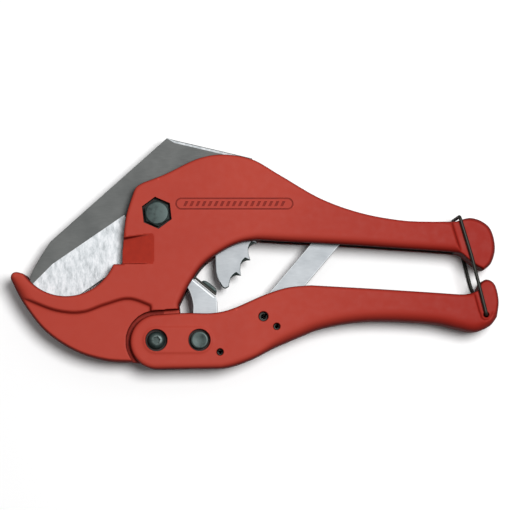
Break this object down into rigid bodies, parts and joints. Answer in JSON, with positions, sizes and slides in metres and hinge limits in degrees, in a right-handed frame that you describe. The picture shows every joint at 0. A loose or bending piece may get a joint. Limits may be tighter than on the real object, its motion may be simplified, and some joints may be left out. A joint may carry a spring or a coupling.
{
  "type": "pipe cutter",
  "caption": "Ratchet cutter for plastic pipe: hook jaw, pivoting bevelled blade with ratchet tail, pawl, opening lever and wire handle latch.",
  "frame": {"origin": "below the middle of the tool's bounding box, on the plane that its back face rests on", "axes": "+X from the jaw towards the handle ends, +Y from the moving handle towards the upper handle and the blade's back, +Z from the back face to the front face"},
  "size_m": [0.2094, 0.1002, 0.02],
  "materials": {
    "red_paint": "satin powder coat over a light-alloy casting",
    "blade_steel": "dark satin steel with a bright ground bevel",
    "bright_steel": "light zinc-plated steel",
    "black_steel": "black oxide, slightly green",
    "spring_wire": "oiled black spring steel"
  },
  "bodies": {
    "body": {"body_casting": "red_paint", "blade_bolt": "black_steel", "blade_washer": "bright_steel", "blade_nut": "black_steel", "handle_pivot_bush": "bright_steel"},
    "blade": {"blade": "blade_steel"},
    "handle": {"moving_handle": "red_paint", "handle_pivot_screw": "black_steel", "handle_pivot_nut": "black_steel", "pawl_pivot_bolt": "black_steel", "pawl_pivot_nut": "black_steel", "pawl_stop_pin": "bright_steel", "lever_pin": "bright_steel", "spring_anchor_pin": "bright_steel", "lever_spacer": "bright_steel", "lever_spring": "spring_wire"},
    "pawl": {"pawl_plate_front": "bright_steel", "pawl_plate_rear": "bright_steel", "pawl_nose_pin": "bright_steel", "pawl_bush": "bright_steel", "pawl_leaf_spring": "spring_wire", "leaf_spring_clamp": "black_steel"},
    "lever": {"opening_lever": "bright_steel"},
    "latch": {"latch_wire": "spring_wire"}
  },
  "joints": [
    {"name": "blade_hinge", "type": "hinge", "parent": "body", "child": "blade", "pos_m": [-0.04205, 0.0168, 0.01], "axis": [0, 0, -1], "range_deg": [0, 62]},
    {"name": "handle_hinge", "type": "hinge", "parent": "body", "child": "handle", "pos_m": [-0.04205, -0.0378, 0.01], "axis": [0, 0, -1], "range_deg": [0, 60]},
    {"name": "pawl_hinge", "type": "hinge", "parent": "handle", "child": "pawl", "pos_m": [-0.02365, -0.0377, 0.01], "axis": [0, 0, -1], "range_deg": [0, 10], "stiffness_Nm_per_rad": 0.02},
    {"name": "lever_hinge", "type": "hinge", "parent": "handle", "child": "lever", "pos_m": [0.00365, -0.0276, 0.01], "axis": [0, 0, 1], "range_deg": [0, 28]},
    {"name": "latch_hinge", "type": "hinge", "parent": "handle", "child": "latch", "pos_m": [0.09905, -0.0268, 0.01], "axis": [0, 0, -1], "range_deg": [0, 60]}
  ]
}
